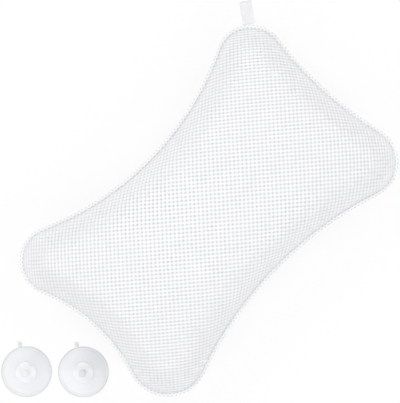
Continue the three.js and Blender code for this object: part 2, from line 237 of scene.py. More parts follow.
# Knobs: the head is (radius, height over the neck)
KNOB_GAP = 0.2
KNOB_COLLAR_RADIUS = 5.5
KNOB_COLLAR_HEIGHT = 1.6
KNOB_COLLAR_SLOPE = 0.1
KNOB_NECK_RADIUS = 3.0
KNOB_NECK_LENGTH = 7.5
KNOB_HEAD = [(4.0, 1.2), (3.7, 2.9), (2.9, 3.4), (0.0, 3.4)]
KNOB_ROUNDING = 0.8

# Pull tabs
TAB_GAP = 0.3
TAB_ANGLE = math.radians(57.5)
TAB_ROOT_WIDTH = 4.0
TAB_BULB_RADIUS = 2.5
TAB_BULB_WRAP = math.radians(115)
TAB_BULB_STEPS = 36
TAB_LENGTH = 6.4
TAB_THICKNESS = 1.2
TAB_LIFT = 0.2
TAB_EDGE = 0.35
TAB_EDGE_MIDDLE = 0.1

# Clear vinyl: each cup's colour and its share in the knob, then the shares by distance from the cup's axis
# The second cup's colour is lighter, as painted light against the pillow's shadow on it
VINYL_COLOURS = {"a": ((0.867, 0.874, 0.887), 0.97), "b": ((0.89, 0.896, 0.912), 0.88)}
VINYL_KNOB_RADIUS = 3.6
VINYL_REACH = 36.0
# Painted light on the boss top against the knob's shadow; painted shade in a ring at the boss's edge and on
# the rim
VINYL_PAINTED_SHADES = [
    (4.8, 1.07), (11.0, 1.07), (11.8, 0.98), (12.6, 1.0),
    (24.4, 1.0), (25.2, 0.97), (26.0, 0.98), (26.9, 0.97), (27.9, 0.76), (28.7, 0.88), (34.0, 0.94),
]

# Textures: bands that the wave node makes in 2 pi, and the part of a texture over which a ramp runs
WAVE_BANDS = 20
RAMP_START = 0.3
RAMP_END = 0.7

# Camera, straight above, with the pillow's long axis turned in the image
PHOTO_TURN = math.radians(46.29)
PHOTO_WIDTH = 440.0
PHOTO_CENTRE = (-1.3, 18.2)
LENS = 150.0
SENSOR = 36.0

# Studio, in metres and watts: the lamps stand round the pillow, and the second is at the image's upper left
FLOOR_SIZE = 8.0
FLOOR_DROP = 0.0003
FLOOR_COLOUR = (0.9, 0.9, 0.9, 1.0)
FLOOR_WHITE = 0.85
SKY_COLOUR = (0.97, 0.98, 1.0, 1.0)
SKY_STRENGTH = 0.58
SKY_WHITE = 1.0
LAMP_REACH = 1.65
LAMP_HEIGHT = 1.35
LAMP_SIZE = 0.9
LAMP_POWERS = (9.6, 12.2, 9.6, 10.9)


def side_centre(first, second, radius):
    """Centre of the outer circle that touches two lobes; the outside is to the right, going round."""
    gap = math.hypot(second[0] - first[0], second[1] - first[1])
    along_x = (second[0] - first[0]) / gap
    along_y = (second[1] - first[1]) / gap
    reach_first = first[2] + radius
    reach_second = second[2] + radius
    run = (gap**2 + reach_first**2 - reach_second**2) / (2 * gap)
    off = math.sqrt(reach_first**2 - run**2)
    return np.array([first[0] + along_x * run + along_y * off, first[1] + along_y * run - along_x * off])


def angle_of(vector):
    return math.atan2(vector[1], vector[0])


def outline_arcs():
    """The outline's arcs, going round: centre, radius, start, sweep, and 1 for a lobe or -1 for a side."""
    arcs = []
    for i, lobe in enumerate(LOBES):
        following = LOBES[(i + 1) % len(LOBES)]
        centre = np.array(lobe[:2])
        before = side_centre(LOBES[i - 1], lobe, SIDE_RADII[i - 1])
        after = side_centre(lobe, following, SIDE_RADII[i])
        start = angle_of(before - centre)
        sweep = (angle_of(after - centre) - start) % (2 * math.pi)
        arcs.append((centre, lobe[2], start, sweep, 1))
        start = angle_of(centre - after)
        sweep = -((start - angle_of(np.array(following[:2]) - after)) % (2 * math.pi))
        arcs.append((after, SIDE_RADII[i], start, sweep, -1))
    return arcs


ARCS = outline_arcs()


def outline_ring(inset, spacing):
    """Points round the outline drawn in by inset, and their outward directions."""
    points = []
    outward = []
    for centre, radius, start, sweep, sign in ARCS:
        count = max(3, round(abs(sweep) * radius / spacing))
        angles = start + sweep * np.arange(count) / count
        direction = np.column_stack([np.cos(angles), np.sin(angles)])
        points.append(centre + (radius - sign * inset) * direction)
        outward.append(sign * direction)
    return np.concatenate(points), np.concatenate(outward)


def outside_ring(points, inset):
    """How far each point lies outside the outline drawn in by inset, and the way out there."""
    distance = np.full(len(points), FAR)
    outward = np.zeros_like(points)
    for centre, radius, start, sweep, sign in ARCS:
        offset = points - centre
        reach = np.maximum(np.hypot(offset[:, 0], offset[:, 1]), TINY)
        turn = np.arctan2(offset[:, 1], offset[:, 0]) - start
        turn = (np.sign(sweep) * turn + TINY) % (2 * math.pi)
        gap = sign * (reach - (radius - sign * inset))
        nearer = (turn <= abs(sweep) + 2 * TINY) & (np.abs(gap) < np.abs(distance))
        distance[nearer] = gap[nearer]
        outward[nearer] = sign * offset[nearer] / reach[nearer, None]
    return distance, outward


def rise(plan, side):
    """Height of one side over the seam, inside the edge roll."""
    share = 1 - (plan[:, 0] / CROWN_REACH_X) ** 2 - (plan[:, 1] / CROWN_REACH_Y) ** 2
    return START_FULLNESS * (EDGE_HEIGHT[side] + (CROWN_HEIGHT[side] - EDGE_HEIGHT[side]) * share)


def slope(plan, side):
    """How fast that height changes along x and y."""
    scale = -2 * START_FULLNESS * (CROWN_HEIGHT[side] - EDGE_HEIGHT[side])
    return scale * plan / np.array([CROWN_REACH_X**2, CROWN_REACH_Y**2])


def roll_drop(share):
    """Share of the height lost after a share of the edge roll: a soft bend, then an even slope."""
    return (np.sqrt(share**2 + ROLL_BEND**2) - ROLL_BEND) / (math.hypot(1, ROLL_BEND) - ROLL_BEND)


def roll_fall(share):
    """How fast that share grows."""
    return share / np.sqrt(share**2 + ROLL_BEND**2) / (math.hypot(1, ROLL_BEND) - ROLL_BEND)


def roll_share(distance, height):
    """Share of the edge roll passed, 0 at its top and 1 at the seam, and the roll's whole length of cloth.

    The cloth stretches over the roll, so only part of the roll's height takes up cloth.
    """
    shares, step = np.linspace(0, 1, ROLL_SAMPLES, retstep=True)
    speed = np.hypot(EDGE_ROLL, ROLL_TAKE_UP * height[:, None] * roll_fall(shares))
    run = np.zeros_like(speed)
    run[:, 1:] = np.cumsum((speed[:, 1:] + speed[:, :-1]) * step / 2, axis=1)
    row = np.arange(len(distance))
    below = np.clip((run <= distance[:, None]).sum(axis=1) - 1, 0, ROLL_SAMPLES - 2)
    part = (distance - run[row, below]) / (run[row, below + 1] - run[row, below])
    return shares[below] + np.clip(part, 0, 1) * step, run[:, -1]


def cloth_foot(flat):
    """For points of the flat cloth: where the edge roll starts, the way out, and the cloth past there."""
    distance, outward = outside_ring(flat, ROLL_END)
    over = np.maximum(distance, 0)
    return flat - outward * over[:, None], outward, over


def seam_gap(flat, side):
    """How much cloth is left between each point of the flat cloth and the seam."""
    foot, _, over = cloth_foot(flat)
    _, whole = roll_share(over, rise(foot, side) - SEAM_HALF)
    return whole - over


def laid(flat, side, lift):
    """Points of the flat cloth laid over one side of the cushion, lifted off it by lift."""
    foot, outward, over = cloth_foot(flat)
    height = rise(foot, side) - SEAM_HALF
    share, _ = roll_share(over, height)
    plan = foot + outward * (EDGE_ROLL * share)[:, None]
    left = 1 - roll_drop(share)
    up = SEAM_HALF + left * (rise(plan, side) - SEAM_HALF)
    fall = height / EDGE_ROLL * roll_fall(share)
    tilt = outward * fall[:, None] - slope(plan, side) * left[:, None]
    normal = np.column_stack([tilt, np.ones(len(flat))])
    normal /= np.linalg.norm(normal, axis=1)[:, None]
    points = np.column_stack([plan, up]) + normal * np.broadcast_to(lift, len(flat))[:, None]
    points[:, 2] = SEAM_HEIGHT + side * points[:, 2]
    return points


def panel_rings(side, spacing, roll_steps, crown_shares):
    """Rings of flat-cloth points from the seam to near the crown."""
    foot, outward = outline_ring(ROLL_END, spacing)
    _, whole = roll_share(np.zeros(len(foot)), rise(foot, side) - SEAM_HALF)
    rings = [foot + outward * (whole * (1 - k / roll_steps))[:, None] for k in range(roll_steps + 1)]
    rings += [foot * share for share in crown_shares]
    return rings


def closed_body(spacing, roll_steps, crown_shares, place):
    """Vertices and faces of a closed cushion; place puts flat-cloth points of one side into space."""
    points = []
    faces = []
    seams = []
    for side in (FRONT, BACK):
        rings = panel_rings(side, spacing, roll_steps, crown_shares)
        count = len(rings[0])
        first = sum(len(part) for part in points)
        seams.append(first)
        points.append(place(np.concatenate(rings + [np.zeros((1, 2))]), side))
        middle = first + count * len(rings)
        for k in range(count):
            following = (k + 1) % count
            for r in range(len(rings) - 1):
                outer = first + r * count
                inner = outer + count
                corners = [outer + k, outer + following, inner + following, inner + k]
                faces.append(corners[:: side])
            last = first + (len(rings) - 1) * count
            faces.append([last + k, last + following, middle][:: side])
    for k in range(count):
        following = (k + 1) % count
        faces.append([seams[1] + k, seams[1] + following, seams[0] + following, seams[0] + k])
    return np.concatenate(points), faces


def mesh_object(name, points, faces):
    """A smooth-shaded object from points in millimetres."""
    mesh = bpy.data.meshes.new(name)
    mesh.from_pydata((np.asarray(points) * MM).tolist(), [], faces)
    mesh.validate()
    mesh.polygons.foreach_set("use_smooth", [True] * len(mesh.polygons))
    made = bpy.data.objects.new(name, mesh)
    bpy.context.collection.objects.link(made)
    return made


def evaluated_mesh(made):
    graph = bpy.context.evaluated_depsgraph_get()
    return bpy.data.meshes.new_from_object(made.evaluated_get(graph))


def mesh_points(mesh):
    points = np.empty(len(mesh.vertices) * 3)
    mesh.vertices.foreach_get("co", points)
    return points.reshape(-1, 3) / MM


def remove(made):
    mesh = made.data
    bpy.data.objects.remove(made)
    bpy.data.meshes.remove(mesh)


def swell():
    """Runs the cloth under air pressure, held at the seam, and gives its points before and after."""
    points, faces = closed_body(
        SWELL_SPACING, SWELL_ROLL_STEPS, SWELL_CROWN_SHARES, lambda flat, side: laid(flat, side, 0)
    )
    rough = mesh_object("swell_rough", points, faces)
    remesh = rough.modifiers.new("even", "REMESH")
    remesh.mode = "VOXEL"
    remesh.voxel_size = VOXEL * MM
    mesh = evaluated_mesh(rough)
    remove(rough)
    before = mesh_points(mesh)
    cushion = bpy.data.objects.new("swell_cushion", mesh)
    bpy.context.collection.objects.link(cushion)
    gap, _ = outside_ring(before[:, :2], SEAM_INSET + PIN_BAND)
    held = np.flatnonzero((gap > 0) & (np.abs(before[:, 2] - SEAM_HEIGHT) < PIN_BAND))
    pins = cushion.vertex_groups.new(name="seam")
    pins.add(held.tolist(), 1.0, "REPLACE")
    cloth = cushion.modifiers.new("cloth", "CLOTH")
    cloth.settings.quality = CLOTH_QUALITY
    cloth.settings.vertex_group_mass = "seam"
    cloth.settings.use_pressure = True
    cloth.settings.uniform_pressure_force = SWELL_PRESSURE
    cloth.settings.effector_weights.gravity = 0
    cloth.collision_settings.use_collision = False
    for number in range(1, SWELL_FRAMES + 1):
        bpy.context.scene.frame_set(number)
    swollen = evaluated_mesh(cushion)
    after = mesh_points(swollen)
    bpy.context.scene.frame_set(1)
    bpy.data.meshes.remove(swollen)
    remove(cushion)
    return before, after


def field_places():
    """Flat-cloth points of the grid on which the swelling is kept."""
    across = np.arange(-FIELD_REACH_X, FIELD_REACH_X + 1, FIELD_STEP)
    up = np.arange(-FIELD_REACH_Y, FIELD_REACH_Y + 1, FIELD_STEP)
    grid_x, grid_y = np.meshgrid(across, up)
    return np.column_stack([grid_x.ravel(), grid_y.ravel()]), grid_x.shape


def swelling_fields():
    """For each side, how far the swollen cloth moves each grid point; the move is capped smoothly."""
    flat, shape = field_places()
    fields = {side: np.zeros((*shape, 3)) for side in (FRONT, BACK)}
    before, after = swell()
    move = after - before
    length = np.maximum(np.linalg.norm(move, axis=1), TINY)
    move *= (SWELL_CAP * np.tanh(length / SWELL_CAP) / length)[:, None]
    tree = KDTree(len(before))
    for number, point in enumerate(before):
        tree.insert(point, number)
    tree.balance()
    for side in (FRONT, BACK):
        moves = np.zeros((len(flat), 3))
        for number, point in enumerate(laid(flat, side, 0)):
            near = tree.find_n(point, FIELD_NEIGHBOURS)
            weight = np.array([1 / (gap + FIELD_SOFTENING) ** 2 for _, _, gap in near])
            moves[number] = weight @ move[[index for _, index, _ in near]] / weight.sum()
        fields[side] = moves.reshape(*shape, 3)
    return fields


FIELDS = swelling_fields()


def swelling(flat, side):
    """The swelling at flat-cloth points, between the grid's points."""
    field = FIELDS[side]
    rows, columns = field.shape[:2]
    at_x = np.clip((flat[:, 0] + FIELD_REACH_X) / FIELD_STEP, 0, columns - 1 - FIELD_MARGIN)
    at_y = np.clip((flat[:, 1] + FIELD_REACH_Y) / FIELD_STEP, 0, rows - 1 - FIELD_MARGIN)
    column = at_x.astype(int)
    row = at_y.astype(int)
    share_x = (at_x - column)[:, None]
    share_y = (at_y - row)[:, None]
    low = field[row, column] * (1 - share_x) + field[row, column + 1] * share_x
    high = field[row + 1, column] * (1 - share_x) + field[row + 1, column + 1] * share_x
    return low * (1 - share_y) + high * share_y


def smooth_step(value):
    value = np.clip(value, 0, 1)
    return value * value * (3 - 2 * value)


def dressed(flat, side, lift):
    """Points of the flat cloth on the swollen cushion, drawn to each eyelet and resting on the floor."""
    freed = smooth_step(seam_gap(flat, side) / SWELL_BAND)
    points = laid(flat, side, 0) + swelling(flat, side) * freed[:, None]
    if side == BACK:
        points[:, 2] = np.maximum(points[:, 2], LOWEST)
        for place in EYELETS.values():
            reach = np.hypot(*(points[:, :2] - place).T)
            drawn = 1 - smooth_step((reach - EYELET_FLANGE_RADIUS) / EYELET_DRAW_BAND)
            points[:, 2] += drawn * (EYELET_BASE + EYELET_SEAT_LIFT - points[:, 2])
    points += laid(flat, side, lift) - laid(flat, side, 0)
    points[:, 2] = np.maximum(points[:, 2], LOWEST - np.minimum(lift, 0))
    return points


def closed_up(run, reach, power):
    """Even runs from the middle, drawn together more and more towards reach."""
    return run / (1 + np.abs(run / reach) ** power) ** (1 / power)


def closing(run, reach, power):
    """How much shorter a step has become there, from 0 for an even step."""
    return 1 - (1 + np.abs(run / reach) ** power) ** (-1 - 1 / power)


def painted_groove_shades(counts, side):
    """Painted shade of the column and the row grooves: deeper at the seam and where the mesh is drawn
    together.
    """
    near_seam = 1 - smooth_step(seam_gap(mesh_places(counts), side) / GROOVE_SEAM_BAND)
    columns = closing(COLUMN_PITCH * counts[:, 0], COLUMN_CLOSING, COLUMN_CLOSING_POWER)
    rows = closing(ROW_PITCH * counts[:, 1], ROW_CLOSING, ROW_CLOSING_POWER)
    in_column = COLUMN_GROOVE_SHADE + GROOVE_SHADE_DEEPENING * columns - GROOVE_SHADE_FADING * rows + near_seam
    in_row = ROW_GROOVE_SHADE + GROOVE_SHADE_DEEPENING * rows - GROOVE_SHADE_FADING * columns + near_seam
    return np.column_stack([in_column, in_row])


def mesh_places(counts):
    """Flat-cloth points of the mesh, from counts of columns and rows."""
    along = closed_up(COLUMN_PITCH * counts[:, :1], COLUMN_CLOSING, COLUMN_CLOSING_POWER)
    across = closed_up(ROW_PITCH * counts[:, 1:], ROW_CLOSING, ROW_CLOSING_POWER)
    row_way = np.array([math.cos(ROW_ANGLE), math.sin(ROW_ANGLE)])
    column_way = np.array([math.cos(COLUMN_ANGLE), math.sin(COLUMN_ANGLE)])
    return along * row_way + across * column_way


def mesh_cells(side):
    """Cells of one side's mesh, as counts of columns and rows, and which of them have a hole."""
    reach = int(MESH_REACH / ROW_PITCH)
    cells = np.array([(i, j) for i in range(-reach, reach) for j in range(-reach, reach)])
    middles = mesh_places(cells + 0.5)
    gap = seam_gap(middles, side)
    used = gap > -PAST_SEAM * ROW_PITCH
    if side == BACK:
        for place in EYELETS.values():
            used &= np.hypot(*(middles - place).T) > EYELET_FLANGE_RADIUS - UNDER_EYELET * ROW_PITCH
    return cells[used], gap[used] > HOLES_FROM_SEAM * ROW_PITCH


def merged(mesh):
    """Joins doubled points and takes out slivers."""
    edited = bmesh.new()
    edited.from_mesh(mesh)
    bmesh.ops.remove_doubles(edited, verts=edited.verts, dist=MERGE_DISTANCE * MM)
    bmesh.ops.dissolve_degenerate(edited, edges=edited.edges, dist=SLIVER_LENGTH * MM)
    edited.to_mesh(mesh)
    edited.free()


def mesh_panel(name, side):
    """One face of the cushion as an open mesh: square cells with a round hole in each, up to the seam."""
    cells, holed = mesh_cells(side)
    round_cell = np.array([(0, 0), (1, 0), (2, 0), (2, 1), (2, 2), (1, 2), (0, 2), (0, 1)])
    corners = (2 * cells[:, None, :] + round_cell).reshape(-1, 2)
    shared, index = np.unique(corners, axis=0, return_inverse=True)
    borders = index.reshape(-1, CELL_POINTS)
    knots = (shared % 2 == 0).all(axis=1)
    in_column = shared[:, 0] % 2 == 1
    frame_flat = mesh_places(shared / 2)
    frame_lift = np.where(knots, KNOT_LIFT, np.where(in_column, COLUMN_GROOVE_LIFT, ROW_GROOVE_LIFT))
    # Painted shade at the frame's points: the grooves and the seam band; the holes get theirs below
    frame_shade = painted_groove_shades(shared / 2, side)
    frame_shade = np.where(knots, 0.0, np.where(in_column, frame_shade[:, 0], frame_shade[:, 1]))
    by_seam = 1 - smooth_step(seam_gap(frame_flat, side) / SEAM_SHADE_BAND)
    frame_shade = np.maximum(frame_shade, SEAM_SHADE * by_seam)

    hole_middles = cells[holed] + 0.5
    spokes = FIRST_SPOKE + 2 * math.pi * np.arange(CELL_POINTS) / CELL_POINTS
    spoke_ways = np.column_stack([np.cos(spokes) / COLUMN_PITCH, np.sin(spokes) / ROW_PITCH])
    top_flat = mesh_places((hole_middles[:, None, :] + HOLE_TOP_RADIUS * spoke_ways).reshape(-1, 2))
    low_flat = mesh_places((hole_middles[:, None, :] + HOLE_RADIUS * spoke_ways).reshape(-1, 2))
    top_lift = np.array([0.0, COLUMN_GROOVE_LIFT, 0.0, ROW_GROOVE_LIFT] * 2)
    top_shade = np.full((len(hole_middles), CELL_POINTS), HOLE_EDGE_SHADE)
    top_shade[:, 1::2] = np.tile(painted_groove_shades(hole_middles, side), 2)
    points = np.concatenate([
        dressed(frame_flat, side, frame_lift),
        dressed(top_flat, side, np.tile(top_lift, len(hole_middles))),
        dressed(low_flat, side, np.full(len(low_flat), -HOLE_DEPTH)),
    ])
    shades = [frame_shade, top_shade.ravel(), np.full(len(low_flat), HOLE_BOTTOM_SHADE)]

    tops = len(shared) + np.arange(len(top_flat)).reshape(-1, CELL_POINTS)
    lows = tops + len(top_flat)
    onward = np.roll(np.arange(CELL_POINTS), -1)
    border = borders[holed]
    collar = np.stack([border, border[:, onward], tops[:, onward], tops], axis=2)
    wall = np.stack([tops, tops[:, onward], lows[:, onward], lows], axis=2)
    quads = np.concatenate([collar.reshape(-1, 4), wall.reshape(-1, 4)])[:, :: side]
    plain = borders[~holed][:, :: side]
    panel = mesh_object(name, points, quads.tolist() + plain.tolist())
    # The painted shade is kept on the points and darkens the fabric's colour
    shade = panel.data.attributes.new("painted_shade", "FLOAT", "POINT")
    shade.data.foreach_set("value", np.concatenate(shades))
    merged(panel.data)
    return panel


def wadding_place(flat, side):
    """Wadding just under the mesh, a little lumpy, and closer to it along the seam."""
    inward = smooth_step(seam_gap(flat, side) / WADDING_SEAM_BAND)
    depth = WADDING_DEPTH * (WADDING_SEAM_SHARE + (1 - WADDING_SEAM_SHARE) * inward)
    points = dressed(flat, side, -depth)
    lumps = np.array([noise.noise(Vector(point / WADDING_LUMP_SIZE)) for point in points])
    points[:, 2] -= side * WADDING_LUMP * inward * np.abs(lumps)
    return points


def wadding_body():
    """The stuffing, with a pocket over each eyelet for a cup's knob."""
    points, faces = closed_body(WADDING_SPACING, WADDING_ROLL_STEPS, WADDING_CROWN_SHARES, wadding_place)
    body = mesh_object("wadding", points, faces)
    profile = [
        (0.0, EYELET_POCKET_BOTTOM), (EYELET_POCKET_RADIUS, EYELET_POCKET_BOTTOM),
        (EYELET_POCKET_RADIUS, EYELET_POCKET_TOP), (0.0, EYELET_POCKET_TOP),
    ]
    for name, place in EYELETS.items():
        pocket = turned(f"pocket_{name}", profile, POCKET_STEPS, place, 0)
        cut = body.modifiers.new(f"pocket_{name}", "BOOLEAN")
        cut.operation = "DIFFERENCE"
        cut.object = pocket
        mesh = evaluated_mesh(body)
        body.modifiers.clear()
        old = body.data
        body.data = mesh
        bpy.data.meshes.remove(old)
        remove(pocket)
    return body


def turned(name, profile, steps, place, base):
    """A turned piece from (radius, height) pairs, about an upright axis at place."""
    sizes = [1 if radius < TINY else steps for radius, _ in profile]
    points = []
    rings = []
    for (radius, height), size in zip(profile, sizes):
        rings.append(len(points))
        for k in range(size):
            angle = 2 * math.pi * k / steps
            x = place[0] + radius * math.cos(angle)
            y = place[1] + radius * math.sin(angle)
            points.append((x, y, base + height))
    faces = []
    for row in range(len(profile) - 1):
        for k in range(steps):
            corners = [
                rings[row] + k % sizes[row],
                rings[row] + (k + 1) % sizes[row],
                rings[row + 1] + (k + 1) % sizes[row + 1],
                rings[row + 1] + k % sizes[row + 1],
            ]
            face = [corner for n, corner in enumerate(corners) if corner not in corners[:n]]
            if len(face) > 2:
                faces.append(face)
    return mesh_object(name, points, faces)


def rounded(profile, radius):
    """A profile with its inner corners rounded."""
    made = [profile[0]]
    for before, corner, after in zip(profile, profile[1:], profile[2:]):
        corner = np.array(corner, float)
        back = np.array(before, float) - corner
        on = np.array(after, float) - corner
        cut = min(radius, ROUNDING_SHARE * np.linalg.norm(back), ROUNDING_SHARE * np.linalg.norm(on))
        start = corner + cut * back / np.linalg.norm(back)
        end = corner + cut * on / np.linalg.norm(on)
        for k in range(ROUNDING_STEPS + 1):
            t = k / ROUNDING_STEPS
            made.append(tuple((1 - t) ** 2 * start + 2 * t * (1 - t) * corner + t * t * end))
    made.append(profile[-1])
    return made


def ring_faces(first, rings, count, wraps):
    """Quads between neighbouring closed rings of points; where it wraps, the last ring joins the first."""
    faces = []
    for k in range(rings if wraps else rings - 1):
        here = first + k * count
        there = first + (k + 1) % rings * count
        for n in range(count):
            onward = (n + 1) % count
            faces.append([here + n, here + onward, there + onward, there + n])
    return faces


def piping():
    """Fabric wrapped round a cord along the whole seam, dimpled by the mesh, with its flange in the seam."""
    path, outward = outline_ring(PIPING_RADIUS, PIPING_BEAD / PIPING_BEAD_STEPS)
    legs = np.linalg.norm(np.roll(path, -1, axis=0) - path, axis=1)
    run = np.concatenate([[0], np.cumsum(legs)[:-1]])
    bead = legs.sum() / round(legs.sum() / PIPING_BEAD)
    count = len(path)
    points = []
    depths = []
    for k in range(PIPING_ROUND_STEPS):
        turn = 2 * math.pi * k / PIPING_ROUND_STEPS
        row_place = turn / (2 * math.pi) * PIPING_ROWS
        row = round(row_place)
        off_row = (row_place - row) * 2 * math.pi * PIPING_RADIUS / PIPING_ROWS
        off_bead = (run / bead + 0.5 * (row % 2)) % 1.0 - 0.5
        spread = (off_row**2 + (off_bead * bead) ** 2) / PIPING_DIMPLE_RADIUS**2
        depth = np.exp(-(spread**2))
        radius = PIPING_RADIUS - PIPING_DIMPLE * depth
        plan = path + outward * (radius * math.cos(turn))[:, None]
        points.append(np.column_stack([plan, SEAM_HEIGHT + radius * math.sin(turn)]))
        depths.append(depth)
    outer, inner = FLANGE_INSETS
    corners = [(inner, 1), (inner, -1), (outer, -1), (outer, 1)]
    for inset, side in corners:
        plan = path - outward * (inset - PIPING_RADIUS)
        points.append(np.column_stack([plan, np.full(count, SEAM_HEIGHT + side * FLANGE_HALF)]))
        depths.append(np.zeros(count))
    faces = ring_faces(0, PIPING_ROUND_STEPS, count, True)
    faces += ring_faces(PIPING_ROUND_STEPS * count, len(corners), count, True)
    made = mesh_object("piping", np.concatenate(points), faces)
    # Painted shade: the dimples' depth darkens the piping's colour through this attribute
    hole = made.data.attributes.new("hole", "FLOAT", "POINT")
    hole.data.foreach_set("value", np.concatenate(depths))
    return made


def loop_path():
    """The closed path of the tape's middle, as even (x, z) points, their outward ways and their runs."""
    touch = math.acos((LOOP_ROOT_RADIUS - LOOP_FOLD_RADIUS) / LOOP_FOLD_X)
    corners = []
    for k in range(LOOP_FOLD_STEPS + 1):
        angle = -touch + 2 * touch * k / LOOP_FOLD_STEPS
        corners.append((LOOP_FOLD_X + LOOP_FOLD_RADIUS * math.cos(angle), LOOP_FOLD_RADIUS * math.sin(angle)))
    for k in range(LOOP_ROOT_STEPS + 1):
        angle = touch + (2 * math.pi - 2 * touch) * k / LOOP_ROOT_STEPS
        corners.append((LOOP_ROOT_RADIUS * math.cos(angle), LOOP_ROOT_RADIUS * math.sin(angle)))
    corners.append(corners[0])
    corners = np.array(corners)
    run = np.concatenate([[0], np.cumsum(np.linalg.norm(np.diff(corners, axis=0), axis=1))])
    stations = np.linspace(0, run[-1], round(run[-1] / LOOP_SPACING), endpoint=False)
    path = np.column_stack([np.interp(stations, run, corners[:, n]) for n in range(2)])
    ahead = np.roll(path, -1, axis=0) - np.roll(path, 1, axis=0)
    ahead /= np.linalg.norm(ahead, axis=1)[:, None]
    return path, np.column_stack([ahead[:, 1], -ahead[:, 0]]), stations


def hanging_loop():
    """A folded woven tape: crosswise ribs, firm edges, and soft pleats where it enters the seam."""
    path, outward, stations = loop_path()
    half = LOOP_WIDTH / 2
    across = np.linspace(-half, half, LOOP_ACROSS_POINTS)
    section = [(y, 1) for y in across] + [(y, -1) for y in across[::-1]]
    along = np.array([math.cos(LOOP_ANGLE), math.sin(LOOP_ANGLE)])
    sideways = np.array([along[1], -along[0]])
    points = []
    for y, face in section:
        edge = half - abs(y)
        rounding = math.sqrt(max(0.0, 1 - max(0.0, 1 - edge / LOOP_EDGE_ROUNDING) ** 2))
        thickness = LOOP_THICKNESS * (LOOP_EDGE_SHARE + (1 - LOOP_EDGE_SHARE) * rounding)
        lift = np.full(len(path), thickness / 2)
        if edge < LOOP_SELVEDGE:
            lift += LOOP_SELVEDGE_LIFT * rounding
        else:
            lift += LOOP_RIB_LIFT * face * np.cos(2 * math.pi * stations / LOOP_RIB)
        if face > 0:
            lift -= LOOP_CREASE_DEPTH * np.exp(-(((path[:, 0] - LOOP_CREASE_X) / LOOP_CREASE_WIDTH) ** 2))
        spot = path + outward * (face * lift)[:, None]
        fade = np.exp(-np.maximum(path[:, 0], 0) / LOOP_PLEAT_FADE)
        height = spot[:, 1] + LOOP_PLEAT_LIFT * fade * math.sin(2 * math.pi * y / LOOP_PLEAT)
        plan = spot[:, :1] * along + (y * (1 + LOOP_FLARE * fade))[:, None] * sideways
        points.append(np.column_stack([LOOP_HINGE[:2] + plan, LOOP_HINGE[2] + height]))
    return mesh_object("loop_tape", np.concatenate(points), ring_faces(0, len(section), len(path), True))


def cup_hollow(radius):
    """Height of the hollow under the dish, which is part of a ball."""
    sphere = (CUP_HOLLOW_RADIUS**2 + CUP_HOLLOW_DEPTH**2) / (2 * CUP_HOLLOW_DEPTH)
    return CUP_HOLLOW_DEPTH - sphere + math.sqrt(sphere**2 - radius**2)


def cup_dish(name, place):
    """The thin dome with its sealing rim, and the boss under the knob."""
    rim_start = CUP_HOLLOW_RADIUS - CUP_RIM_BAND
    inner_radii = np.linspace(0, rim_start, CUP_DOME_POINTS)
    outer_radii = np.linspace(rim_start, CUP_BOSS_RADIUS + CUP_BOSS_FOOT, CUP_DOME_POINTS)
    inner = [(radius, cup_hollow(radius)) for radius in inner_radii]
    outer = [(radius, cup_hollow(radius) + CUP_WALL) for radius in outer_radii]
    rim = rounded([
        inner[-1],
        (CUP_HOLLOW_RADIUS, 0.0),
        (CUP_RADIUS, 0.0),
        (CUP_RADIUS, CUP_LIP),
        (CUP_HOLLOW_RADIUS + CUP_LIP_INSIDE, CUP_LIP + CUP_LIP_RISE),
        (CUP_HOLLOW_RADIUS, cup_hollow(CUP_HOLLOW_RADIUS) + CUP_WALL),
    ], CUP_RIM_ROUNDING)
    boss = rounded([
        outer[-1],
        (CUP_BOSS_RADIUS, cup_hollow(CUP_BOSS_RADIUS) + CUP_WALL),
        (CUP_BOSS_RADIUS - CUP_BOSS_TAPER, CUP_BOSS_TOP),
        (CUP_BOSS_RADIUS - CUP_BOSS_LAND, CUP_BOSS_TOP),
        (CUP_BOSS_RADIUS - CUP_SEAT_INSET, CUP_SEAT_TOP),
        (0.0, CUP_SEAT_TOP),
    ], CUP_BOSS_ROUNDING)
    profile = inner + rim[1:] + outer[:-1] + boss
    return turned(name, profile[::-1], DISH_STEPS, place, 0)


def cup_knob(name, place):
    """The collar, the waisted neck and the snap head that goes through an eyelet."""
    bottom = CUP_SEAT_TOP + KNOB_GAP
    collar_top = bottom + KNOB_COLLAR_HEIGHT
    neck_top = collar_top + KNOB_NECK_LENGTH
    profile = [
        (0.0, bottom),
        (KNOB_COLLAR_RADIUS, bottom),
        (KNOB_COLLAR_RADIUS, collar_top),
        (KNOB_NECK_RADIUS, collar_top + KNOB_COLLAR_SLOPE),
        (KNOB_NECK_RADIUS, neck_top),
    ]
    profile += [(radius, neck_top + height) for radius, height in KNOB_HEAD]
    return turned(name, rounded(profile, KNOB_ROUNDING)[::-1], RING_STEPS, place, 0)


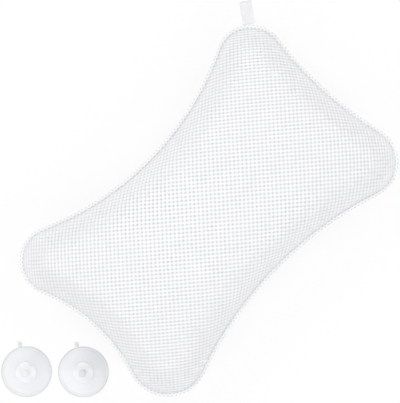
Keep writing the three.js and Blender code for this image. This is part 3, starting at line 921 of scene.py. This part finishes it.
def pull_tab(name, place):
    """A flat tab with a round bulb, its edges rounded."""
    along = np.array([math.cos(TAB_ANGLE), math.sin(TAB_ANGLE)])
    sideways = np.array([-along[1], along[0]])
    bulb_x = TAB_LENGTH - TAB_BULB_RADIUS
    outline = [(TAB_GAP, TAB_ROOT_WIDTH / 2), (TAB_GAP, 0.0), (TAB_GAP, -TAB_ROOT_WIDTH / 2)]
    for k in range(TAB_BULB_STEPS + 1):
        angle = -TAB_BULB_WRAP + 2 * TAB_BULB_WRAP * k / TAB_BULB_STEPS
        outline.append((bulb_x + TAB_BULB_RADIUS * math.cos(angle), TAB_BULB_RADIUS * math.sin(angle)))
    outline = np.array(outline)
    middle = np.array([bulb_x, 0.0])
    away = outline - middle
    reach = np.linalg.norm(away, axis=1)[:, None]
    lower = [(TAB_EDGE, 0.0), (TAB_EDGE_MIDDLE, TAB_EDGE_MIDDLE), (0.0, TAB_EDGE)]
    layers = lower + [(inset, TAB_THICKNESS - height) for inset, height in lower[::-1]]
    points = []
    for inset, height in layers:
        shape = middle + away * (1 - inset / reach)
        plan = np.array(place) + (CUP_RADIUS + shape[:, :1]) * along + shape[:, 1:] * sideways
        points.append(np.column_stack([plan, np.full(len(plan), TAB_LIFT + height)]))
    count = len(outline)
    bottom = list(range(count))
    top = [(len(layers) - 1) * count + n for n in bottom]
    faces = [bottom[::-1], top] + ring_faces(0, len(layers), count, False)
    return mesh_object(name, np.concatenate(points), faces)


def eyelet(name, place):
    """A two-lipped plastic ring set in the back."""
    barrel = EYELET_BORE_RADIUS + EYELET_BARREL_WALL
    profile = [
        (EYELET_BORE_RADIUS, EYELET_BORE_MIDDLE),
        (EYELET_BORE_RADIUS, EYELET_FACE),
        (EYELET_FLANGE_RADIUS - EYELET_FACE_SLOPE, EYELET_FACE),
        (EYELET_FLANGE_RADIUS, EYELET_FLANGE_EDGE),
        (EYELET_FLANGE_RADIUS, EYELET_FLANGE_TOP),
        (barrel, EYELET_FLANGE_TOP),
        (barrel, EYELET_LIP_BOTTOM),
        (barrel + EYELET_LIP, EYELET_LIP_BOTTOM),
        (barrel + EYELET_LIP, EYELET_TOP),
        (EYELET_BORE_RADIUS, EYELET_TOP),
        (EYELET_BORE_RADIUS, EYELET_BORE_MIDDLE),
    ]
    return turned(name, rounded(profile, EYELET_ROUNDING), RING_STEPS, place, EYELET_BASE)


class Material:
    """A node material: one Principled shader with a plain colour, under textures sized in millimetres."""

    def __init__(self, name, colour, roughness):
        self.data = bpy.data.materials.new(name)
        self.data.use_nodes = True
        self.tree = self.data.node_tree
        self.shader = self.tree.nodes["Principled BSDF"]
        self.set(self.shader, "Base Color", (*colour, 1.0))
        self.set(self.shader, "Roughness", roughness)
        self.coords = self.node("ShaderNodeTexCoord").outputs["Object"]

    def node(self, kind, **settings):
        made = self.tree.nodes.new(kind)
        for key, value in settings.items():
            setattr(made, key, value)
        return made

    def set(self, node, socket, value):
        node.inputs[socket].default_value = value

    def link(self, source, node, socket):
        self.tree.links.new(source, node.inputs[socket])

    def placed(self, turn):
        """Object coordinates turned about the upright axis."""
        mapping = self.node("ShaderNodeMapping")
        self.link(self.coords, mapping, "Vector")
        self.set(mapping, "Rotation", (0.0, 0.0, turn))
        return mapping.outputs["Vector"]

    def noise(self, size_mm, detail=3.0):
        made = self.node("ShaderNodeTexNoise")
        self.link(self.coords, made, "Vector")
        self.set(made, "Scale", 1.0 / (size_mm * MM))
        self.set(made, "Detail", detail)
        return made.outputs["Fac"]

    def wave(self, size_mm, direction, vector, distortion):
        """Bands one size apart."""
        made = self.node("ShaderNodeTexWave", bands_direction=direction)
        self.link(vector, made, "Vector")
        self.set(made, "Scale", 2 * math.pi / WAVE_BANDS / (size_mm * MM))
        self.set(made, "Distortion", distortion)
        return made.outputs["Fac"]

    def ramp(self, source, low, high):
        """Colour between two shades, by a texture."""
        made = self.node("ShaderNodeValToRGB")
        self.link(source, made, "Fac")
        made.color_ramp.elements[0].position = RAMP_START
        made.color_ramp.elements[0].color = (*low, 1.0)
        made.color_ramp.elements[1].position = RAMP_END
        made.color_ramp.elements[1].color = (*high, 1.0)
        self.link(made.outputs["Color"], self.shader, "Base Color")

    def stops(self, source, shades, scale):
        """Colour through several shades, each at its place along a scaled value."""
        scaled = self.node("ShaderNodeMath", operation="MULTIPLY")
        self.link(source, scaled, 0)
        self.set(scaled, 1, scale)
        made = self.node("ShaderNodeValToRGB")
        self.link(scaled.outputs["Value"], made, "Fac")
        elements = made.color_ramp.elements
        while len(elements) < len(shades):
            elements.new(1.0)
        for element, (place, colour) in zip(elements, shades):
            element.position = place
            element.color = (*colour, 1.0)
        self.link(made.outputs["Color"], self.shader, "Base Color")

    def rough(self, source, low, high):
        made = self.node("ShaderNodeMapRange")
        self.link(source, made, "Value")
        self.set(made, "To Min", low)
        self.set(made, "To Max", high)
        self.link(made.outputs["Result"], self.shader, "Roughness")

    def bump(self, source, depth_mm, strength, under=None):
        made = self.node("ShaderNodeBump")
        self.link(source, made, "Height")
        self.set(made, "Distance", depth_mm * MM)
        self.set(made, "Strength", strength)
        if under:
            self.link(under, made, "Normal")
        self.link(made.outputs["Normal"], self.shader, "Normal")
        return made.outputs["Normal"]


def mesh_fabric():
    """White knitted polyester: fine yarns both ways and soft fuzz, with painted shade in the grooves and the
    holes.
    """
    made = Material("open_mesh_fabric", colour=(0.90, 0.90, 0.905), roughness=0.85)
    turned_way = made.placed(-ROW_ANGLE)
    # The painted shade kept on the mesh's points darkens the colour
    painted_shade = made.node("ShaderNodeAttribute", attribute_name="painted_shade").outputs["Fac"]
    made.stops(painted_shade, FABRIC_PAINTED_SHADES, 1 / SHADE_SPAN)
    made.rough(made.noise(1.2), low=0.75, high=0.95)
    yarn = None
    for direction in ("X", "Y"):
        bands = made.wave(0.55, direction, turned_way, distortion=1.5)
        yarn = made.bump(bands, depth_mm=0.12, strength=0.5, under=yarn)
    made.bump(made.noise(0.25), depth_mm=0.08, strength=0.4, under=yarn)
    made.set(made.shader, "Specular IOR Level", 0.2)
    made.set(made.shader, "Sheen Weight", 0.08)
    made.set(made.shader, "Sheen Roughness", 0.5)
    return made.data


def wadding_fibre():
    """Polyester fibre seen down the holes of the mesh, greyer than the fabric as painted shade in the holes.
    """
    made = Material("fibre_wadding", colour=(0.80, 0.80, 0.805), roughness=0.95)
    made.ramp(made.noise(3.0, detail=5.0), low=(0.77, 0.77, 0.78), high=(0.82, 0.82, 0.825))
    made.rough(made.noise(2.0), low=0.88, high=1.0)
    made.bump(made.noise(0.6, detail=6.0), depth_mm=0.4, strength=0.7)
    return made.data


def piping_fabric():
    """The same knit, stretched over the cord on the bias; painted shade makes it greyer than the panels, most
    in the dimples.
    """
    made = Material("piping_fabric", colour=(0.87, 0.87, 0.875), roughness=0.85)
    bias = made.placed(math.radians(45) - ROW_ANGLE)
    # Painted shade in the dimples comes through the hole attribute
    hole = made.node("ShaderNodeAttribute", attribute_name="hole").outputs["Fac"]
    made.ramp(hole, low=(0.88, 0.88, 0.883), high=(0.72, 0.72, 0.73))
    made.rough(made.noise(1.0), low=0.75, high=0.95)
    yarn = made.bump(made.wave(0.6, "X", bias, distortion=1.0), depth_mm=0.1, strength=0.5)
    made.bump(made.noise(0.25), depth_mm=0.08, strength=0.4, under=yarn)
    made.set(made.shader, "Specular IOR Level", 0.2)
    made.set(made.shader, "Sheen Weight", 0.08)
    return made.data


def loop_webbing():
    """Pale grey woven tape: fine warp yarns across the ribs."""
    made = Material("loop_webbing", colour=(0.84, 0.84, 0.845), roughness=0.8)
    along = made.placed(-LOOP_ANGLE)
    made.ramp(made.noise(4.0, detail=4.0), low=(0.77, 0.77, 0.775), high=(0.81, 0.81, 0.815))
    made.rough(made.noise(0.8), low=0.7, high=0.9)
    yarn = made.bump(made.wave(0.5, "Y", along, distortion=0.6), depth_mm=0.1, strength=0.6)
    made.bump(made.noise(0.2), depth_mm=0.06, strength=0.4, under=yarn)
    made.set(made.shader, "Sheen Weight", 0.15)
    return made.data


def eyelet_plastic():
    """Moulded white plastic with a faint grain."""
    made = Material("eyelet_plastic", colour=(0.88, 0.88, 0.88), roughness=0.35)
    made.ramp(made.noise(6.0), low=(0.86, 0.86, 0.86), high=(0.89, 0.89, 0.89))
    made.rough(made.noise(0.7), low=0.28, high=0.42)
    made.bump(made.noise(0.4), depth_mm=0.02, strength=0.3)
    return made.data


def clear_vinyl(name, place, colour, knob_share):
    """Soft milky vinyl, a little bluish, faintly wavy; darker knob, painted light on the boss, painted shade
    on the rim.
    """
    made = Material(name, colour, roughness=0.35)
    mapping = made.node("ShaderNodeMapping")
    made.link(made.coords, mapping, "Vector")
    made.set(mapping, "Location", (-place[0] * MM, -place[1] * MM, 0.0))
    made.set(mapping, "Scale", (1.0, 1.0, 0.0))
    length = made.node("ShaderNodeVectorMath", operation="LENGTH")
    made.link(mapping.outputs["Vector"], length, "Vector")
    shares = [(0.0, knob_share), (VINYL_KNOB_RADIUS, knob_share)] + VINYL_PAINTED_SHADES
    shades = [(radius / VINYL_REACH, [share * each for each in colour]) for radius, share in shares]
    made.stops(length.outputs["Value"], shades, 1 / (VINYL_REACH * MM))
    made.rough(made.noise(3.0), low=0.50, high=0.62)
    made.bump(made.noise(2.5, detail=2.0), depth_mm=0.05, strength=0.25)
    made.set(made.shader, "Transmission Weight", 0.15)
    made.set(made.shader, "IOR", 1.5)
    made.set(made.shader, "Subsurface Weight", 0.6)
    made.set(made.shader, "Subsurface Radius", (0.006, 0.006, 0.007))
    return made.data


def finish_piece(made, material, body, slot, *nodes):
    """Gives a piece its material, its body and the solids that it stands for; the slot is not used."""
    made.data.materials.clear()
    made.data.materials.append(material)
    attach(made, body)
    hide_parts(*nodes)
    return made


def white_for_camera(tree, shaded, output, share):
    """Mixes plain white into what the camera, glossy and transmitted rays see of a surface."""
    path = tree.nodes.new("ShaderNodeLightPath")
    seen = path.outputs["Is Camera Ray"]
    for ray in ("Is Glossy Ray", "Is Transmission Ray"):
        either = tree.nodes.new("ShaderNodeMath")
        either.operation = "MAXIMUM"
        tree.links.new(seen, either.inputs[0])
        tree.links.new(path.outputs[ray], either.inputs[1])
        seen = either.outputs["Value"]
    amount = tree.nodes.new("ShaderNodeMath")
    amount.operation = "MULTIPLY"
    tree.links.new(seen, amount.inputs[0])
    amount.inputs[1].default_value = share
    white = tree.nodes.new("ShaderNodeEmission")
    mix = tree.nodes.new("ShaderNodeMixShader")
    tree.links.new(amount.outputs["Value"], mix.inputs["Fac"])
    tree.links.new(shaded, mix.inputs[1])
    tree.links.new(white.outputs["Emission"], mix.inputs[2])
    tree.links.new(mix.outputs["Shader"], output.inputs["Surface"])


def studio():
    """A wide white floor, an even sky and soft lamps round the camera, the upper left one the strongest."""
    bpy.ops.mesh.primitive_plane_add(size=FLOOR_SIZE, location=(0.0, 0.0, -FLOOR_DROP))
    floor = bpy.context.object
    floor.name = "floor"
    paint = bpy.data.materials.new("floor_paint")
    paint.use_nodes = True
    tree = paint.node_tree
    tree.nodes.remove(tree.nodes["Principled BSDF"])
    matt = tree.nodes.new("ShaderNodeBsdfDiffuse")
    matt.inputs["Color"].default_value = FLOOR_COLOUR
    white_for_camera(tree, matt.outputs["BSDF"], tree.nodes["Material Output"], FLOOR_WHITE)
    floor.data.materials.append(paint)

    world = bpy.data.worlds.new("studio")
    bpy.context.scene.world = world
    world.use_nodes = True
    tree = world.node_tree
    sky = tree.nodes["Background"]
    sky.inputs["Color"].default_value = SKY_COLOUR
    sky.inputs["Strength"].default_value = SKY_STRENGTH
    white_for_camera(tree, sky.outputs["Background"], tree.nodes["World Output"], SKY_WHITE)

    for number, power in enumerate(LAMP_POWERS):
        around = 2 * math.pi * number / len(LAMP_POWERS)
        lamp_data = bpy.data.lights.new(f"softbox_{number}", "AREA")
        lamp_data.shape = "DISK"
        lamp_data.size = LAMP_SIZE
        lamp_data.energy = power
        lamp = bpy.data.objects.new(f"softbox_{number}", lamp_data)
        lamp.visible_camera = False
        lamp.location = (LAMP_REACH * math.cos(around), LAMP_REACH * math.sin(around), LAMP_HEIGHT)
        lamp.rotation_euler = (-lamp.location).to_track_quat("-Z", "Y").to_euler()
        bpy.context.collection.objects.link(lamp)


def camera():
    """A long lens straight above, turned so that the pillow lies aslant in the image."""
    made = bpy.data.cameras.new("camera")
    made.sensor_fit = "HORIZONTAL"
    made.sensor_width = SENSOR
    made.lens = LENS
    eye = bpy.data.objects.new("camera", made)
    height = SEAM_HEIGHT + PHOTO_WIDTH * LENS / SENSOR
    eye.location = (PHOTO_CENTRE[0] * MM, PHOTO_CENTRE[1] * MM, height * MM)
    eye.rotation_euler = (0.0, 0.0, -PHOTO_TURN)
    bpy.context.collection.objects.link(eye)
    bpy.context.scene.camera = eye


def build():
    """Makes every piece, rides it on its body and lets it stand for its solids."""
    fabric = mesh_fabric()
    plastic = eyelet_plastic()
    vinyl = {side: clear_vinyl(f"clear_vinyl_{side}", CUPS[side], *VINYL_COLOURS[side]) for side in CUPS}
    front = finish_piece(mesh_panel("front_mesh", FRONT), fabric, "pillow", "mesh_fabric", "front_panel")
    back = finish_piece(mesh_panel("back_mesh", BACK), fabric, "pillow", "mesh_fabric", "back_panel")
    stuffing = finish_piece(wadding_body(), wadding_fibre(), "pillow", "wadding", "fibre_fill")
    finish_piece(piping(), piping_fabric(), "pillow", "piping_fabric", "piping_tape", "piping_cord")
    finish_piece(hanging_loop(), loop_webbing(), "loop", "loop_webbing", "hanging_loop")
    for side, place in EYELETS.items():
        ring = eyelet(f"eyelet_ring_{side}", place)
        finish_piece(ring, plastic, "pillow", "eyelet_plastic", f"eyelet_{side}")
        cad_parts[f"eyelet_washer_{side}"].material_slots[0].material = plastic
    for side, place in CUPS.items():
        dish = cup_dish(f"cup_dish_{side}", place)
        finish_piece(dish, vinyl[side], f"cup_{side}", "clear_vinyl", f"suction_cup_{side}")
        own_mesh(dish)
        knob = cup_knob(f"knob_{side}", place)
        finish_piece(knob, vinyl[side], f"knob_{side}", "clear_vinyl", f"cup_knob_{side}")
        tab = pull_tab(f"tab_{side}", place)
        finish_piece(tab, vinyl[side], f"tab_{side}", "clear_vinyl", f"pull_tab_{side}")


build()
studio()
camera()
bpy.context.scene.view_settings.view_transform = "Standard"
